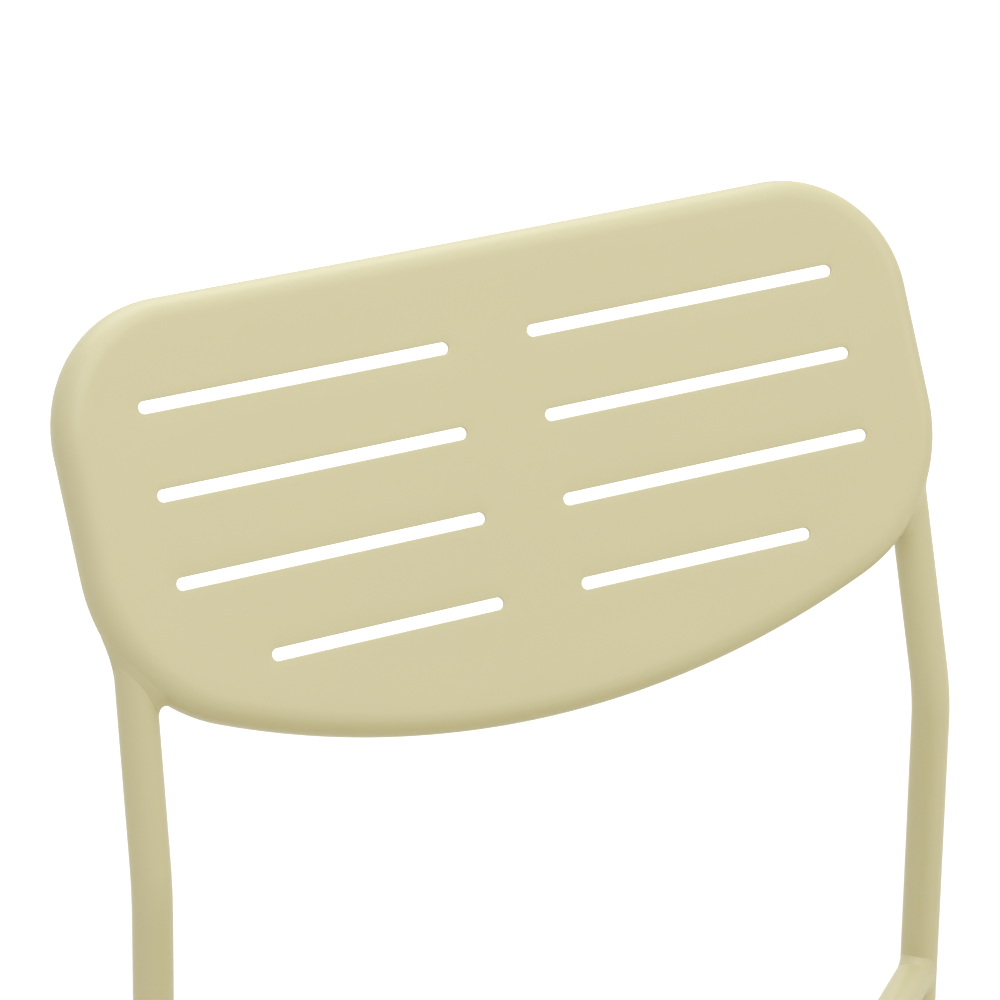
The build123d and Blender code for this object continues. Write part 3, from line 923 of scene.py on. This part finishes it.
# The chair's pieces
pressed_sheet("backrest_sheet", backrest, back_slot_first, back_slot_lengths, ["backrest_panel"])
pressed_sheet("seat_sheet", seat, seat_slot_first, seat_slot_lengths, ["seat_pan"])
for name, side in sides.items():
    make_piece(f"rear_leg_tube_{name}", "powder_coat", [rear_leg_tube(side)], [f"rear_leg_{name}"])
    make_piece(f"front_leg_tube_{name}", "powder_coat", [front_leg_tube(side)], [f"front_leg_{name}"])
    back_stitches = [
        stitch_bead(backrest, side * post_across, along, hand)
        for along in back_stitch_places
        for hand in sides.values()
    ]
    make_piece(
        f"backrest_beads_{name}", "powder_coat", [rim_bead(side)] + back_stitches, [f"backrest_weld_{name}"]
    )
    make_piece(f"rail_bead_{name}", "powder_coat", [rail_bead(side)], [f"rail_weld_{name}"])
    rear_glide = foot(rear_foot_point(side), bend_point(side))
    make_piece(f"rear_glide_{name}", "plastic", [rear_glide], [f"rear_foot_{name}"])
    front_glide = foot(front_foot_point(side), knee_point(side))
    make_piece(f"front_glide_{name}", "plastic", [front_glide], [f"front_foot_{name}"])
    make_piece(f"post_cap_{name}", "plastic", [post_cap(side)], [f"post_plug_{name}"])
    for end, place in bumper_places.items():
        make_piece(f"{end}_button_{name}", "plastic", [bumper(side, place)], [f"{end}_bumper_{name}"])
for end, place in cross_rail_places.items():
    make_piece(f"{end}_cross_tube", "powder_coat", [cross_rail_tube(place)], [f"{end}_cross_rail"])
cross_rail_beads = [
    cross_rail_bead(place, end, side)
    for place in cross_rail_places.values()
    for end, side in ((0, sides["left"]), (-1, sides["right"]))
]
make_piece("cross_rail_beads", "powder_coat", cross_rail_beads, ["cross_rail_welds"])
seat_stitches = [
    stitch_bead(seat, side * rail_across, along, hand)
    for side in sides.values()
    for along in seat_stitch_places
    for hand in sides.values()
]
make_piece("seat_beads", "powder_coat", seat_stitches, ["seat_welds"])

# Floor, which shows as the white background and keeps the shadow
white = (1, 1, 1, 1)
floor_bounce = (0.8, 0.74, 0.54, 1)
floor_seen = (0.8, 0.8, 0.8, 1)
floor_fade = (0.6, 2.0)
floor_lift = (0.2, 0.6)
floor_roughness = 0.9
floor_half = 6.0
floor_mesh = bpy.data.meshes.new("floor")
floor_corners = [(x * floor_half, y * floor_half, 0) for x, y in ((-1, -1), (1, -1), (1, 1), (-1, 1))]
floor_mesh.from_pydata(floor_corners, [], [(0, 1, 2, 3)])
floor = bpy.data.objects.new("floor", floor_mesh)
scene.collection.objects.link(floor)


def seen_directly(tree):
    """1 where a camera, glossy or transmission ray meets the surface or the world, else 0."""
    path = tree.nodes.new("ShaderNodeLightPath")
    either = [tree.nodes.new("ShaderNodeMath") for _ in range(2)]
    for node in either:
        node.operation = "MAXIMUM"
    tree.links.new(path.outputs["Is Glossy Ray"], either[0].inputs[0])
    tree.links.new(path.outputs["Is Transmission Ray"], either[0].inputs[1])
    tree.links.new(path.outputs["Is Camera Ray"], either[1].inputs[0])
    tree.links.new(either[0].outputs[0], either[1].inputs[1])
    return either[1].outputs[0]


def floor_paint():
    """Pale matt floor with a warm bounce. Where it is seen directly it is neutral, and a lift that
    grows with the distance from the chair brings it to white, so that the shadow shows near the feet."""
    material = bpy.data.materials.new("pale_floor")
    material.use_nodes = True
    tree = material.node_tree
    shader = tree.nodes["Principled BSDF"]
    shader.inputs["Roughness"].default_value = floor_roughness
    shader.inputs["Specular IOR Level"].default_value = 0.0
    shader.inputs["Emission Color"].default_value = white
    seen = seen_directly(tree)
    colour = tree.nodes.new("ShaderNodeMix")
    colour.data_type = "RGBA"
    colour.inputs["A"].default_value = floor_bounce
    colour.inputs["B"].default_value = floor_seen
    tree.links.new(seen, colour.inputs["Factor"])
    tree.links.new(colour.outputs["Result"], shader.inputs["Base Color"])
    place = tree.nodes.new("ShaderNodeTexCoord")
    away = tree.nodes.new("ShaderNodeVectorMath")
    away.operation = "LENGTH"
    tree.links.new(place.outputs["Object"], away.inputs[0])
    lift = tree.nodes.new("ShaderNodeMapRange")
    lift.interpolation_type = "SMOOTHSTEP"
    for socket, value in zip(("From Min", "From Max", "To Min", "To Max"), floor_fade + floor_lift):
        lift.inputs[socket].default_value = value
    tree.links.new(away.outputs["Value"], lift.inputs["Value"])
    strength = tree.nodes.new("ShaderNodeMath")
    strength.operation = "MULTIPLY"
    tree.links.new(seen, strength.inputs[0])
    tree.links.new(lift.outputs["Result"], strength.inputs[1])
    tree.links.new(strength.outputs[0], shader.inputs["Emission Strength"])
    return material


floor_mesh.materials.append(floor_paint())

# World: even studio light, white where it is seen directly
studio_light = 0.64
backdrop_light = 1.0
world = bpy.data.worlds.new("studio")
scene.world = world
world.use_nodes = True
sky = world.node_tree
ambient = sky.nodes["Background"]
ambient.inputs["Color"].default_value = white
ambient.inputs["Strength"].default_value = studio_light
backdrop = sky.nodes.new("ShaderNodeBackground")
backdrop.inputs["Color"].default_value = white
backdrop.inputs["Strength"].default_value = backdrop_light
mix = sky.nodes.new("ShaderNodeMixShader")
sky.links.new(seen_directly(sky), mix.inputs[0])
sky.links.new(ambient.outputs[0], mix.inputs[1])
sky.links.new(backdrop.outputs[0], mix.inputs[2])
sky.links.new(mix.outputs[0], sky.nodes["World Output"].inputs["Surface"])


# Camera and lamps
def basis(azimuth, elevation, roll=0.0):
    """Right, up and back directions of a viewer who stands at that azimuth and elevation, in degrees."""
    a, e, r = np.radians([azimuth, elevation, roll])
    back = np.array([np.sin(a) * np.cos(e), -np.cos(a) * np.cos(e), np.sin(e)])
    right = np.array([np.cos(a), np.sin(a), 0.0])
    up = np.cross(back, right)
    return right * np.cos(r) + up * np.sin(r), up * np.cos(r) - right * np.sin(r), back


def place_viewer(thing, target, distance, azimuth, elevation, roll=0.0):
    """Sets a camera or lamp at a distance from its target, looking at it."""
    right, up, back = basis(azimuth, elevation, roll)
    place = np.eye(4)
    place[:3, 0], place[:3, 1], place[:3, 2] = right, up, back
    place[:3, 3] = np.array(target) + distance * back
    thing.matrix_world = Matrix(place.tolist())
    scene.collection.objects.link(thing)


camera = bpy.data.objects.new("camera", bpy.data.cameras.new("camera"))
camera.data.lens = 162.0
camera.data.sensor_width = 36.0
place_viewer(
    camera,
    target=(-0.03077, 0.16816, 0.74362),
    distance=2.07917,
    azimuth=-27.69,
    elevation=24.04,
    roll=-0.25,
)
scene.camera = camera


def softbox(name, size, power, target, distance, azimuth, elevation, colour):
    """A square lamp that faces its target."""
    lamp = bpy.data.lights.new(name, "AREA")
    lamp.shape = "SQUARE"
    lamp.size = size
    lamp.energy = power
    lamp.color = colour
    place_viewer(bpy.data.objects.new(name, lamp), target, distance, azimuth, elevation)


softbox(
    "softbox_front",
    size=2.4,
    power=20.0,
    target=(0, 0, 0.5),
    distance=2.4,
    azimuth=-15,
    elevation=65,
    colour=(0.96, 1.0, 1.09),
)
softbox(
    "softbox_back",
    size=1.8,
    power=17.0,
    target=(0, 0, 0.6),
    distance=2.4,
    azimuth=170,
    elevation=55,
    colour=(0.93, 1.0, 1.16),
)
softbox(
    "softbox_right",
    size=1.5,
    power=6.0,
    target=(0, 0, 0.6),
    distance=2.4,
    azimuth=60,
    elevation=25,
    colour=(1.0, 1.0, 1.0),
)

scene.view_settings.view_transform = "Standard"
